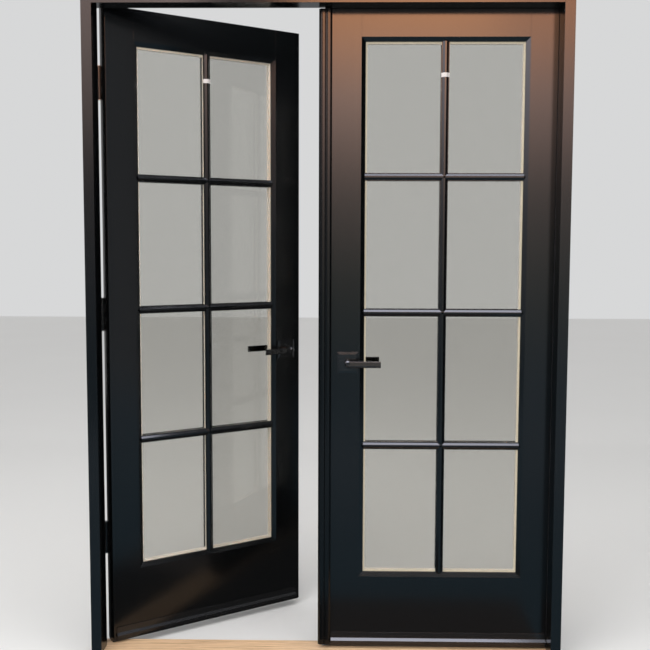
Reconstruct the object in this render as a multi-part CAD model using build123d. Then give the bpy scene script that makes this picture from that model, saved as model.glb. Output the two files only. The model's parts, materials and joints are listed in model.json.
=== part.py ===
from build123d import *
import os

# A pair of glazed doors in a rabbeted frame. Millimetres, +Z up, +X to the right as
# seen from outside, +Y into the room. The origin lies on the underside of the
# threshold, midway between the leaves, in the plane of their outer faces.
# Every leaf piece is drawn once, for the right leaf when shut. The left leaf is its
# mirror image, turned open about its hinge pins.

# Leaf
LEAF_WIDTH = 705.0
LEAF_HEIGHT = 2013.0
LEAF_THICKNESS = 44.5
STILE_FACE = 95.0
TOP_RAIL_FACE = 99.0
BOTTOM_RAIL_FACE = 224.0
EDGE_EASE = 1.5
TENON_LENGTH = 30.0
TENON_THICKNESS = 14.0
TENON_SHOULDER = 18.0
TENON_CLEARANCE = 0.1
LEFT_LEAF_OPEN = 34.3

# Sticking, glass and bars
STICKING_WIDTH = 13.0
STICKING_DEPTH = 14.0
STICKING_EDGE = 5.0
BEAD_EDGE = 2.0
PANE_THICKNESS = 3.0
CAVITY = 13.0
PANE_EDGE_GAP = 2.0
SPACER_EDGE_GAP = 1.0
SPACER_SIGHTLINE = 5.5
SHADOW_BAR_WIDTH = 19.0
SHADOW_BAR_GAP = 2.0
ROWS = 4
COLUMNS = 2
MUNTIN_FOOT = 24.0
MUNTIN_FLAT = 5.5
MUNTIN_EDGE = 3.8
MUNTIN_SETBACK = 3.0
BEAD_SETBACK = 1.0

# Frame
RUNNING_GAP = 3.0
JAMB_DEPTH = 116.5
JAMB_BOARD = 19.0
STOP_REACH = 12.7
HEAD_STOP_REACH = 17.5
SEAL_ROOM = 6.0
SEAL_WIDTH = 9.0
SEAL_CLEARANCE = 0.3
THRESHOLD_THICKNESS = 16.0
THRESHOLD_NOSING = 10.0
THRESHOLD_INNER_LIP = 7.5
THRESHOLD_EDGE = 9.0
BOTTOM_GAP = 9.0
FIXING_RADIUS = 2.75
FIXING_COUNT = 4
FIXING_LOWEST = 200.0
FIXING_TOP_MARGIN = 180.0
CORNER_SCREW_RADIUS = 2.2
CORNER_SCREW_HEAD = 4.4
CORNER_SCREW_LENGTH = 55.0
CORNER_SCREW_SPACING = 60.0
SCREW_CLEARANCE = 0.1

# Butt hinges
HINGE_HEIGHT = 102.0
HINGE_COUNT = 3
HINGE_TOP_MARGIN = 229.0
HINGE_BOTTOM_MARGIN = 330.0
KNUCKLES = 5
KNUCKLE_GAP = 0.4
PLATE_THICKNESS = 2.6
PLATE_DEPTH = 38.0
BARREL_RADIUS = 6.0
BARREL_PROUD = 6.5
PIN_RADIUS = 3.0
PIN_CLEARANCE = 0.05
PIN_HEAD_RADIUS = 5.2
PIN_HEAD = 2.5

# Lever set
LEVER_HEIGHT = 913.0
BACKSET = 57.0
ROSE_SIZE = 66.0
ROSE_THICKNESS = 9.0
ROSE_BEVEL = 7.0
ROSE_BEVEL_DROP = 3.0
NECK_RADIUS = 9.95
NECK_CLEARANCE = 0.05
HUB_CHAMFER = 4.5
LEVER_STANDOFF = 38.0
LEVER_LENGTH = 102.0
LEVER_DEPTH = 11.0
LEVER_LEAN = 2.0
LEVER_BAR_HEIGHT = 20.0
LEVER_DROP = 2.5
LEVER_TOP_ROUND = 1.5
LEVER_FRONT_ROUND = 6.0
SPINDLE_SIDE = 8.0
SPINDLE_ENTRY = 15.0
CROSS_BORE_RADIUS = 27.0
THROUGH_BOLT_RADIUS = 2.5
THROUGH_BOLT_OFFSET = 19.0
THROUGH_BOLT_ENTRY = 5.0

# Latch and strike
LATCH_CASE_RADIUS = 11.7
LATCH_CASE_PAST_SPINDLE = 14.0
LATCH_BORE_CLEARANCE = 0.2
SPINDLE_HOLE_RADIUS = 6.0
LATCH_THICKNESS = 11.0
LATCH_HEIGHT = 16.0
LATCH_THROW = 11.5
LATCH_BEVEL_START = 1.5
LATCH_TIP = 1.5
LATCH_BODY = 28.0
LATCH_SLIDE_GAP = 0.3
FACEPLATE_HEIGHT = 57.0
FACEPLATE_WIDTH = 25.4
FACEPLATE_THICKNESS = 2.4
FACEPLATE_CORNER = 6.0
STRIKE_THICKNESS = 1.6
STRIKE_MARGIN = 2.5
STRIKE_POCKET_DEPTH = 14.0

# Astragal and flush bolts
ASTRAGAL_POST = 17.0
COVER_THICKNESS = 13.0
COVER_LEFT_LAP = 15.0
COVER_RIGHT_LAP = 5.0
COVER_BEVEL = 5.5
COVER_BEVEL_DROP = 6.0
COVER_GROOVE = 3.0
COVER_CROWN = 0.8
CROWN_FACETS = 5
COVER_RELIEF = 1.2
COVER_TOP_GAP = 3.0
COVER_BOTTOM_GAP = 12.0
COVER_SEAL_WIDTH = 10.0
BOLT_RADIUS = 4.9
BOLT_CLEARANCE = 0.1
BOLT_LENGTH = 230.0
BOLT_THROW = 20.0
BOLT_REST_SETBACK = 1.0
BOLT_TAB_HEIGHT = 20.0
BOLT_TAB_WIDTH = 5.0
BOLT_TAB_SETBACK = 0.6
BOLT_TAB_FROM_END = 60.0
SLOT_CLEARANCE = 0.4
KEEPER_THICKNESS = 1.6
KEEPER_SIDE = 26.0
KEEPER_HOLE_CLEARANCE = 0.8
KEEPER_HOLE_EXTRA_DEPTH = 0.9

# Bottom sweep
SWEEP_LEG_HEIGHT = 41.0
SWEEP_WALL = 2.5
SWEEP_PROJECTION = 11.0
SWEEP_DRIP_TOP = 22.0
SWEEP_DRIP_FALL = 6.5
SWEEP_SKIRT = 8.5
SWEEP_BASE = 3.5
SWEEP_END_GAP = 1.5
FIN_COUNT = 3
FIN_THICKNESS = 3.0
FIN_PITCH = 14.0
FIN_FLOOR_GAP = 0.4
FIN_BASE = 1.0

# White band round the vertical bar of the top lites
BAND_THICKNESS = 0.5
BAND_HEIGHT = 13.0
RIGHT_BAND_BELOW_TOP = 212.0
LEFT_BAND_BELOW_TOP = 196.0

# Positions that follow from the sizes
LEAF_BOTTOM = THRESHOLD_THICKNESS + BOTTOM_GAP
LEAF_TOP = LEAF_BOTTOM + LEAF_HEIGHT
MEETING_EDGE = (ASTRAGAL_POST + RUNNING_GAP) / 2
HINGE_EDGE = MEETING_EDGE + LEAF_WIDTH
RABBET_X = HINGE_EDGE + RUNNING_GAP
STOP_X = RABBET_X - STOP_REACH
OUTER_X = RABBET_X + JAMB_BOARD
RABBET_Z = LEAF_TOP + RUNNING_GAP
STOP_Z = RABBET_Z - HEAD_STOP_REACH
FRAME_TOP = RABBET_Z + JAMB_BOARD
JAMB_OUTER_Y = LEAF_THICKNESS - JAMB_DEPTH
JAMB_MIDDLE_Y = (JAMB_OUTER_Y - SEAL_ROOM) / 2
PIVOT_X = HINGE_EDGE + RUNNING_GAP / 2
PIVOT_Y = LEAF_THICKNESS + BARREL_PROUD
LITE_LEFT = MEETING_EDGE + STILE_FACE
LITE_RIGHT = HINGE_EDGE - STILE_FACE
LITE_BOTTOM = LEAF_BOTTOM + BOTTOM_RAIL_FACE
LITE_TOP = LEAF_TOP - TOP_RAIL_FACE
GLASS_WIDTH = LITE_RIGHT - LITE_LEFT - 2 * STICKING_WIDTH
GLASS_HEIGHT = LITE_TOP - LITE_BOTTOM - 2 * STICKING_WIDTH
GLASS_INNER_Y = STICKING_DEPTH + 2 * PANE_THICKNESS + CAVITY
POST_LEFT = MEETING_EDGE - ASTRAGAL_POST
POST_CENTRE = MEETING_EDGE - ASTRAGAL_POST / 2
MIDDLE_Y = LEAF_THICKNESS / 2
LEVER_X = MEETING_EDGE + BACKSET
LEVER_Z = LEAF_BOTTOM + LEVER_HEIGHT
COVER_LEFT = -MEETING_EDGE - COVER_LEFT_LAP
COVER_RIGHT = MEETING_EDGE + COVER_RIGHT_LAP


# Helpers: straight prisms along each axis, blocks and rods

def prism_z(outline, low, high):
    face = Plane.XY.offset(low) * Polygon(*outline, align=None)
    return extrude(face, amount=high - low, dir=(0, 0, 1))


def prism_x(outline, low, high):
    """Outline points are (y, z)."""
    plane = Plane((low, 0, 0), x_dir=(0, 1, 0), z_dir=(1, 0, 0))
    return extrude(plane * Polygon(*outline, align=None), amount=high - low, dir=(1, 0, 0))


def prism_y(outline, low, high):
    """Outline points are (x, z)."""
    plane = Plane((0, low, 0), x_dir=(1, 0, 0), z_dir=(0, -1, 0))
    return extrude(plane * Polygon(*outline, align=None), amount=high - low, dir=(0, 1, 0))


def block(x_span, y_span, z_span):
    sides = [high - low for low, high in (x_span, y_span, z_span)]
    corner = Pos(x_span[0], y_span[0], z_span[0])
    return corner * Box(*sides, align=(Align.MIN, Align.MIN, Align.MIN))


def around(centre, width):
    return (centre - width / 2, centre + width / 2)


def rod(start, direction, length, radius):
    return extrude(Plane(start, z_dir=direction) * Circle(radius), amount=length, dir=direction)


def ring_sides(profile):
    """Four mitred sides round the lite opening; profile points are (inward distance, y)."""
    reach = max(distance for distance, _ in profile)
    low_y = min(y for _, y in profile)
    high_y = max(y for _, y in profile)
    outer = ((LITE_LEFT, LITE_BOTTOM), (LITE_RIGHT, LITE_BOTTOM),
             (LITE_RIGHT, LITE_TOP), (LITE_LEFT, LITE_TOP))
    inner = ((LITE_LEFT + reach, LITE_BOTTOM + reach), (LITE_RIGHT - reach, LITE_BOTTOM + reach),
             (LITE_RIGHT - reach, LITE_TOP - reach), (LITE_LEFT + reach, LITE_TOP - reach))
    bars = (
        prism_x([(y, LITE_BOTTOM + d) for d, y in profile], LITE_LEFT, LITE_RIGHT),
        prism_z([(LITE_RIGHT - d, y) for d, y in profile], LITE_BOTTOM, LITE_TOP),
        prism_x([(y, LITE_TOP - d) for d, y in profile], LITE_LEFT, LITE_RIGHT),
        prism_z([(LITE_LEFT + d, y) for d, y in profile], LITE_BOTTOM, LITE_TOP),
    )
    sides = []
    for index, bar in enumerate(bars):
        following = (index + 1) % len(bars)
        mitre = prism_y([outer[index], outer[following], inner[following], inner[index]], low_y, high_y)
        sides.append(bar & mitre)
    return dict(zip(("bottom", "right", "top", "left"), sides))


def solids_of(shapes):
    return Compound(children=[solid for shape in shapes for solid in shape.solids()])


# Leaf woodwork

def sticking():
    return ring_sides([
        (0, 0),
        (STICKING_WIDTH, STICKING_DEPTH - STICKING_EDGE),
        (STICKING_WIDTH, STICKING_DEPTH),
        (0, STICKING_DEPTH),
    ])


def rail_spans():
    return {"bottom": (LEAF_BOTTOM, LITE_BOTTOM), "top": (LITE_TOP, LEAF_TOP)}


def tenons(clearance):
    """Stub tenons of both rails, at both stiles, grown by the clearance."""
    result = []
    for low, high in rail_spans().values():
        height = (low + TENON_SHOULDER - clearance, high - TENON_SHOULDER + clearance)
        depth = around(MIDDLE_Y, TENON_THICKNESS + 2 * clearance)
        length = TENON_LENGTH + clearance
        result.append(block((LITE_LEFT - length, LITE_LEFT), depth, height))
        result.append(block((LITE_RIGHT, LITE_RIGHT + length), depth, height))
    return result


def stile_body(edge, inner):
    """One stile from its outer edge to the lite opening, with eased outer corners."""
    ease = EDGE_EASE if inner > edge else -EDGE_EASE
    outline = [
        (inner, 0), (inner, LEAF_THICKNESS), (edge + ease, LEAF_THICKNESS),
        (edge, LEAF_THICKNESS - EDGE_EASE), (edge, EDGE_EASE), (edge + ease, 0),
    ]
    body = prism_z(outline, LEAF_BOTTOM, LEAF_TOP)
    for tenon in tenons(TENON_CLEARANCE):
        body -= tenon
    return body


def meeting_stile(lips, has_latch):
    stile = stile_body(MEETING_EDGE, LITE_LEFT) + lips["left"]
    stile -= rod((LEVER_X, 0, LEVER_Z), (0, 1, 0), LEAF_THICKNESS, CROSS_BORE_RADIUS)
    if has_latch:
        bore_radius = LATCH_CASE_RADIUS + LATCH_BORE_CLEARANCE
        stile -= rod((MEETING_EDGE, MIDDLE_Y, LEVER_Z), (1, 0, 0), latch_case_length(), bore_radius)
        stile -= faceplate_blank()
    return stile


def hinge_stile(lips):
    stile = stile_body(HINGE_EDGE, LITE_RIGHT) + lips["right"]
    for centre in hinge_centres():
        stile -= block((HINGE_EDGE - PLATE_THICKNESS, HINGE_EDGE),
                       (LEAF_THICKNESS - PLATE_DEPTH, LEAF_THICKNESS), around(centre, HINGE_HEIGHT))
    return stile


def rail(name, lips):
    low, high = rail_spans()[name]
    body = block((LITE_LEFT, LITE_RIGHT), (0, LEAF_THICKNESS), (low, high))
    for tenon in tenons(0):
        if low < tenon.center().Z < high:
            body += tenon
    return body + lips[name]


# Glass and bars

def bar_centres(count, start, length):
    """Centres of the bars that split a length into equal clear openings."""
    opening = (length - (count - 1) * MUNTIN_FOOT) / count
    return [start + k * opening + (k - 0.5) * MUNTIN_FOOT for k in range(1, count)]


def upright_centres():
    return bar_centres(COLUMNS, LITE_LEFT + STICKING_WIDTH, GLASS_WIDTH)


def cross_bar_centres():
    return bar_centres(ROWS, LITE_BOTTOM + STICKING_WIDTH, GLASS_HEIGHT)


def pane(low_y):
    return block((LITE_LEFT + PANE_EDGE_GAP, LITE_RIGHT - PANE_EDGE_GAP), (low_y, low_y + PANE_THICKNESS),
                 (LITE_BOTTOM + PANE_EDGE_GAP, LITE_TOP - PANE_EDGE_GAP))


def spacer():
    """Light spacer round the cavity, with a flat bar behind each muntin."""
    low_y = STICKING_DEPTH + PANE_THICKNESS
    high_y = low_y + CAVITY
    edge = PANE_EDGE_GAP + SPACER_EDGE_GAP
    sight = STICKING_WIDTH + SPACER_SIGHTLINE
    outside = block((LITE_LEFT + edge, LITE_RIGHT - edge), (low_y, high_y),
                    (LITE_BOTTOM + edge, LITE_TOP - edge))
    x_span = (LITE_LEFT + sight, LITE_RIGHT - sight)
    z_span = (LITE_BOTTOM + sight, LITE_TOP - sight)
    ring = outside - block(x_span, (low_y, high_y), z_span)
    bar_depth = (low_y + SHADOW_BAR_GAP, high_y - SHADOW_BAR_GAP)
    for centre in upright_centres():
        ring += block(around(centre, SHADOW_BAR_WIDTH), bar_depth, z_span)
    for centre in cross_bar_centres():
        ring += block(x_span, bar_depth, around(centre, SHADOW_BAR_WIDTH))
    return ring


def muntin_outline(back_y, front_y, grow=0.0):
    """Bevelled bar section as (across, y); it stands on the glass at back_y."""
    foot = MUNTIN_FOOT / 2 + grow
    flat = MUNTIN_FLAT / 2 + grow / 2
    toward = 1 if front_y > back_y else -1
    front = front_y + toward * grow
    edge = back_y + toward * MUNTIN_EDGE
    return [(-foot, back_y), (-foot, edge), (-flat, front), (flat, front), (foot, edge), (foot, back_y)]


def muntins(back_y, front_y, surround):
    """Full-height uprights with the cross bars coped between them and the surround."""
    outline = muntin_outline(back_y, front_y)
    uprights = []
    for centre in upright_centres():
        bar = prism_z([(centre + across, y) for across, y in outline], LITE_BOTTOM, LITE_TOP)
        uprights.append(bar - surround["bottom"] - surround["top"])
    pieces = list(uprights)
    for centre in cross_bar_centres():
        bar = prism_x([(y, centre + across) for across, y in outline], LITE_LEFT, LITE_RIGHT)
        for other in [surround["left"], surround["right"], *uprights]:
            bar -= other
        pieces.append(bar)
    return solids_of(pieces)


def glazing_beads():
    front = LEAF_THICKNESS - BEAD_SETBACK
    return ring_sides([
        (0, GLASS_INNER_Y),
        (STICKING_WIDTH, GLASS_INNER_Y),
        (STICKING_WIDTH, GLASS_INNER_Y + BEAD_EDGE),
        (BEAD_EDGE, front),
        (0, front),
    ])


def muntin_band(below_top):
    """A narrow band stuck over the outside of the first upright."""
    centre = upright_centres()[0]
    level = LEAF_TOP - below_top
    outer = muntin_outline(STICKING_DEPTH, MUNTIN_SETBACK, BAND_THICKNESS)
    inner = muntin_outline(STICKING_DEPTH, MUNTIN_SETBACK)
    band = prism_z([(centre + across, y) for across, y in outer], *around(level, BAND_HEIGHT))
    return band - prism_z([(centre + across, y) for across, y in inner], *around(level, BAND_HEIGHT))


# Bottom sweep

def sweep_carrier(cover_edge):
    """Tray under the leaf; its outside drip runs from the astragal cover to the door stop."""
    drip_top = LEAF_BOTTOM + SWEEP_DRIP_TOP
    drip_nose = drip_top - SWEEP_DRIP_FALL
    skirt_foot = drip_nose - SWEEP_SKIRT
    inside_y = -SWEEP_PROJECTION + SWEEP_WALL
    base_low = LEAF_BOTTOM - SWEEP_BASE
    tray = block((MEETING_EDGE, HINGE_EDGE), (0, LEAF_THICKNESS - SWEEP_WALL), (base_low, LEAF_BOTTOM))
    outline = [
        (0, LEAF_BOTTOM + SWEEP_LEG_HEIGHT),
        (-SWEEP_WALL, LEAF_BOTTOM + SWEEP_LEG_HEIGHT),
        (-SWEEP_WALL, drip_top),
        (-SWEEP_PROJECTION, drip_nose),
        (-SWEEP_PROJECTION, skirt_foot),
        (inside_y, skirt_foot),
        (inside_y, drip_nose - SWEEP_WALL),
        (-SWEEP_WALL, drip_top - SWEEP_WALL - SWEEP_WALL),
        (-SWEEP_WALL, base_low),
        (0, base_low),
    ]
    return tray + prism_x(outline, cover_edge + SWEEP_END_GAP, STOP_X - SWEEP_END_GAP)


def sweep_seal():
    """Fins under the carrier that brush the threshold."""
    high = LEAF_BOTTOM - SWEEP_BASE
    tip = THRESHOLD_THICKNESS + FIN_FLOOR_GAP
    first = MIDDLE_Y - FIN_PITCH * (FIN_COUNT - 1) / 2
    span = (MEETING_EDGE, HINGE_EDGE)
    last = first + FIN_PITCH * (FIN_COUNT - 1)
    seal = block(span, (first - FIN_THICKNESS, last + FIN_THICKNESS), (high - FIN_BASE, high))
    for index in range(FIN_COUNT):
        seal += block(span, around(first + index * FIN_PITCH, FIN_THICKNESS), (tip, high))
    return seal


# Hinges

def hinge_centres():
    lowest = LEAF_BOTTOM + HINGE_BOTTOM_MARGIN
    highest = LEAF_TOP - HINGE_TOP_MARGIN
    step = (highest - lowest) / (HINGE_COUNT - 1)
    return [lowest + index * step for index in range(HINGE_COUNT)]


def hinge_half(x_span, first_knuckle):
    """Plates and every second knuckle of all the hinges on one leaf."""
    pitch = HINGE_HEIGHT / KNUCKLES
    halves = []
    for centre in hinge_centres():
        low = centre - HINGE_HEIGHT / 2
        half = block(x_span, (LEAF_THICKNESS - PLATE_DEPTH, LEAF_THICKNESS), around(centre, HINGE_HEIGHT))
        for index in range(first_knuckle, KNUCKLES, 2):
            span = (low + index * pitch + KNUCKLE_GAP / 2, low + (index + 1) * pitch - KNUCKLE_GAP / 2)
            half += block(x_span, (LEAF_THICKNESS, PIVOT_Y), span)
            half += rod((PIVOT_X, PIVOT_Y, span[0]), (0, 0, 1), span[1] - span[0], BARREL_RADIUS)
        bore = PIN_RADIUS + PIN_CLEARANCE
        half -= rod((PIVOT_X, PIVOT_Y, low), (0, 0, 1), HINGE_HEIGHT, bore)
        halves.append(half)
    return solids_of(halves)


def hinge_frame_plates():
    return hinge_half((RABBET_X, RABBET_X + PLATE_THICKNESS), 0)


def hinge_leaf_plates():
    return hinge_half((HINGE_EDGE - PLATE_THICKNESS, HINGE_EDGE), 1)


def hinge_pins():
    pins = []
    for centre in hinge_centres():
        low = centre - HINGE_HEIGHT / 2
        pin = rod((PIVOT_X, PIVOT_Y, low), (0, 0, 1), HINGE_HEIGHT, PIN_RADIUS)
        pin += rod((PIVOT_X, PIVOT_Y, low + HINGE_HEIGHT), (0, 0, 1), PIN_HEAD, PIN_HEAD_RADIUS)
        pin += rod((PIVOT_X, PIVOT_Y, low - PIN_HEAD), (0, 0, 1), PIN_HEAD, PIN_HEAD_RADIUS)
        pins.append(pin)
    return solids_of(pins)


# Lever set: outside is -Y, the inside one is its mirror image about the leaf's middle

def to_inside(shape):
    return mirror(shape, about=Plane.XZ.offset(-MIDDLE_Y))


def rose_face(distance, side):
    """Square outline of the rose at a distance from the leaf."""
    return Plane((LEVER_X, -distance, LEVER_Z), x_dir=(1, 0, 0), z_dir=(0, -1, 0)) * Rectangle(side, side)


def rose():
    """Square plate with a wide, shallow bevel round its front."""
    shoulder = ROSE_THICKNESS - ROSE_BEVEL_DROP
    plate = block(around(LEVER_X, ROSE_SIZE), (-shoulder, 0), around(LEVER_Z, ROSE_SIZE))
    front = rose_face(ROSE_THICKNESS, ROSE_SIZE - 2 * ROSE_BEVEL)
    plate += loft([rose_face(shoulder, ROSE_SIZE), front], ruled=True)
    plate -= rod((LEVER_X, 0, LEVER_Z), (0, -1, 0), ROSE_THICKNESS, NECK_RADIUS + NECK_CLEARANCE)
    for hole in through_bolt_rods(SCREW_CLEARANCE):
        plate -= hole
    return plate


def lever():
    """Bevelled round neck with a bar whose front leans back and whose lower front edge is well rounded."""
    low = LEVER_Z - LEVER_DROP - LEVER_BAR_HEIGHT / 2
    back = -LEVER_STANDOFF
    front = back - LEVER_DEPTH
    high = low + LEVER_BAR_HEIGHT
    outline = [(back, low), (front, low), (front + LEVER_LEAN, high), (back, high)]
    bar = prism_x(outline, LEVER_X, LEVER_X + LEVER_LENGTH)
    lower_edges = bar.edges().filter_by(Axis.X).filter_by(lambda edge: edge.center().Z < LEVER_Z)
    lower_front = lower_edges.sort_by(Axis.Y)[0]
    bar = fillet(lower_front, LEVER_FRONT_ROUND)
    upper = bar.edges().filter_by(Axis.X).filter_by(lambda edge: edge.center().Z > LEVER_Z)
    bar = fillet(upper, LEVER_TOP_ROUND)
    hub = rod((LEVER_X, 0, LEVER_Z), (0, -1, 0), -front, NECK_RADIUS)
    hub = chamfer(hub.edges().sort_by(Axis.Y)[0], HUB_CHAMFER)
    socket = block(around(LEVER_X, SPINDLE_SIDE), (-SPINDLE_ENTRY, 0), around(LEVER_Z, SPINDLE_SIDE))
    return hub + bar - socket


def spindle():
    return block(around(LEVER_X, SPINDLE_SIDE), (-SPINDLE_ENTRY, LEAF_THICKNESS + SPINDLE_ENTRY),
                 around(LEVER_Z, SPINDLE_SIDE))


def through_bolt_rods(clearance):
    """Two bolts that draw the roses together, one above and one below the spindle."""
    length = LEAF_THICKNESS + 2 * THROUGH_BOLT_ENTRY
    return [rod((LEVER_X, -THROUGH_BOLT_ENTRY, LEVER_Z + side * THROUGH_BOLT_OFFSET), (0, 1, 0), length,
                THROUGH_BOLT_RADIUS + clearance) for side in (-1, 1)]


# Latch of the active leaf

def latch_case_length():
    return BACKSET + LATCH_CASE_PAST_SPINDLE


def faceplate_blank():
    plate = block((MEETING_EDGE, MEETING_EDGE + FACEPLATE_THICKNESS), around(MIDDLE_Y, FACEPLATE_WIDTH),
                  around(LEVER_Z, FACEPLATE_HEIGHT))
    return fillet(plate.edges().filter_by(Axis.X), FACEPLATE_CORNER)


def latch_channel():
    return block((MEETING_EDGE, MEETING_EDGE + LATCH_BODY + LATCH_THROW + FACEPLATE_THICKNESS),
                 around(MIDDLE_Y, LATCH_THICKNESS + 2 * LATCH_SLIDE_GAP),
                 around(LEVER_Z, LATCH_HEIGHT + 2 * LATCH_SLIDE_GAP))


def latch_faceplate():
    return faceplate_blank() - latch_channel()


def latch_case():
    start = MEETING_EDGE + FACEPLATE_THICKNESS
    length = latch_case_length() - FACEPLATE_THICKNESS
    case = rod((start, MIDDLE_Y, LEVER_Z), (1, 0, 0), length, LATCH_CASE_RADIUS) - latch_channel()
    return case - rod((LEVER_X, 0, LEVER_Z), (0, 1, 0), LEAF_THICKNESS, SPINDLE_HOLE_RADIUS)


def latch_bolt():
    """Bevelled on the outside, where it rides over the strike as the leaf shuts."""
    outer_y, inner_y = around(MIDDLE_Y, LATCH_THICKNESS)
    tip = MEETING_EDGE - LATCH_THROW
    outline = [
        (MEETING_EDGE + LATCH_BODY, outer_y),
        (MEETING_EDGE - LATCH_BEVEL_START, outer_y),
        (tip, inner_y - LATCH_TIP),
        (tip, inner_y),
        (MEETING_EDGE + LATCH_BODY, inner_y),
    ]
    return prism_z(outline, *around(LEVER_Z, LATCH_HEIGHT))


# Astragal on the inactive leaf

def bolt_bore(outward, end_z):
    """Round bore and finger slot for one flush bolt; outward is +1 at the top, -1 at the bottom."""
    depth = BOLT_LENGTH + BOLT_REST_SETBACK + SLOT_CLEARANCE
    bore = rod((POST_CENTRE, MIDDLE_Y, end_z), (0, 0, -outward), depth, BOLT_RADIUS + BOLT_CLEARANCE)
    tab_near = end_z - outward * (BOLT_TAB_FROM_END - BOLT_THROW - SLOT_CLEARANCE)
    tab_far = end_z - outward * (BOLT_TAB_FROM_END + BOLT_REST_SETBACK + BOLT_TAB_HEIGHT + SLOT_CLEARANCE)
    slot = block((POST_LEFT, POST_CENTRE), around(MIDDLE_Y, BOLT_TAB_WIDTH + 2 * SLOT_CLEARANCE),
                 (min(tab_near, tab_far), max(tab_near, tab_far)))
    return bore + slot


def flush_bolt(outward, end_z):
    tip = end_z - outward * BOLT_REST_SETBACK
    bolt = rod((POST_CENTRE, MIDDLE_Y, tip), (0, 0, -outward), BOLT_LENGTH, BOLT_RADIUS)
    near = tip - outward * BOLT_TAB_FROM_END
    far = near - outward * BOLT_TAB_HEIGHT
    return bolt + block((POST_LEFT + BOLT_TAB_SETBACK, POST_CENTRE), around(MIDDLE_Y, BOLT_TAB_WIDTH),
                        (min(near, far), max(near, far)))


def strike_blank():
    return block((POST_LEFT, POST_LEFT + STRIKE_THICKNESS), around(MIDDLE_Y, FACEPLATE_WIDTH),
                 around(LEVER_Z, FACEPLATE_HEIGHT))


def strike_pocket():
    return block((POST_LEFT, POST_LEFT + STRIKE_POCKET_DEPTH),
                 around(MIDDLE_Y, LATCH_THICKNESS + 2 * STRIKE_MARGIN),
                 around(LEVER_Z, LATCH_HEIGHT + 2 * STRIKE_MARGIN))


def astragal_post():
    post = block((POST_LEFT, MEETING_EDGE), (0, LEAF_THICKNESS), (LEAF_BOTTOM, LEAF_TOP))
    post -= strike_blank()
    post -= strike_pocket()
    post -= bolt_bore(1, LEAF_TOP)
    post -= bolt_bore(-1, LEAF_BOTTOM)
    return post


def cover_span():
    return (THRESHOLD_THICKNESS + COVER_BOTTOM_GAP, STOP_Z - COVER_TOP_GAP)


def crown(start, end):
    """Points of a shallow rounded bead between two places across the cover, ends included."""
    base = COVER_CROWN - COVER_THICKNESS
    points = []
    for index in range(CROWN_FACETS + 1):
        share = index / CROWN_FACETS
        points.append((start + share * (end - start), base - 4 * COVER_CROWN * share * (1 - share)))
    return points


def astragal_cover():
    """Outside moulding: bevelled edges and two rounded beads beside a narrow groove."""
    shoulder = COVER_BEVEL_DROP - COVER_THICKNESS
    groove = around((COVER_LEFT + COVER_RIGHT) / 2, COVER_GROOVE)
    groove_bottom = ((COVER_LEFT + COVER_RIGHT) / 2, COVER_CROWN + COVER_GROOVE / 2 - COVER_THICKNESS)
    outline = [
        (POST_LEFT, 0), (POST_LEFT, -COVER_RELIEF), (COVER_LEFT, -COVER_RELIEF), (COVER_LEFT, shoulder),
        *crown(COVER_LEFT + COVER_BEVEL, groove[0]),
        groove_bottom,
        *crown(groove[1], COVER_RIGHT - COVER_BEVEL),
        (COVER_RIGHT, shoulder), (COVER_RIGHT, 0),
    ]
    return prism_z(outline, *cover_span())


def astragal_seal():
    middle = (COVER_LEFT - MEETING_EDGE) / 2
    return block(around(middle, COVER_SEAL_WIDTH), (-COVER_RELIEF, -SEAL_CLEARANCE), cover_span())


def strike_plate():
    return strike_blank() - strike_pocket()


# Frame

def fixing_heights():
    pitch = (FRAME_TOP - FIXING_TOP_MARGIN - FIXING_LOWEST) / (FIXING_COUNT - 1)
    return [FIXING_LOWEST + index * pitch for index in range(FIXING_COUNT)]


def jamb(side):
    """Rabbeted side jamb standing on the threshold; side is -1 on the left, 1 on the right."""
    outline = [
        (side * STOP_X, JAMB_OUTER_Y), (side * OUTER_X, JAMB_OUTER_Y), (side * OUTER_X, LEAF_THICKNESS),
        (side * RABBET_X, LEAF_THICKNESS), (side * RABBET_X, -SEAL_ROOM), (side * STOP_X, -SEAL_ROOM),
    ]
    board = prism_z(outline, THRESHOLD_THICKNESS, RABBET_Z)
    low_x = min(side * STOP_X, side * OUTER_X)
    for height in fixing_heights():
        board -= rod((low_x, JAMB_MIDDLE_Y, height), (1, 0, 0), OUTER_X - STOP_X, FIXING_RADIUS)
    for centre in hinge_centres():
        recess = block((RABBET_X, RABBET_X + PLATE_THICKNESS),
                       (LEAF_THICKNESS - PLATE_DEPTH, LEAF_THICKNESS),
                       around(centre, HINGE_HEIGHT))
        board -= recess if side > 0 else mirror(recess, about=Plane.YZ)
    for screw in corner_screw_list(SCREW_CLEARANCE):
        board -= screw
    return board


def keeper_blank(low_z):
    return block(around(POST_CENTRE, KEEPER_SIDE), around(MIDDLE_Y, KEEPER_SIDE),
                 (low_z, low_z + KEEPER_THICKNESS))


def keeper_hole(low_z, high_z):
    return rod((POST_CENTRE, MIDDLE_Y, low_z), (0, 0, 1), high_z - low_z,
               BOLT_RADIUS + KEEPER_HOLE_CLEARANCE)


def head_jamb():
    board = block((-OUTER_X, OUTER_X), (JAMB_OUTER_Y, LEAF_THICKNESS), (RABBET_Z, FRAME_TOP))
    board += block((-STOP_X, STOP_X), (JAMB_OUTER_Y, -SEAL_ROOM), (STOP_Z, RABBET_Z))
    board -= keeper_blank(RABBET_Z)
    board -= keeper_hole(RABBET_Z, LEAF_TOP - BOLT_REST_SETBACK + BOLT_THROW + KEEPER_HOLE_EXTRA_DEPTH)
    for screw in corner_screw_list(SCREW_CLEARANCE):
        board -= screw
    return board


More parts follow.
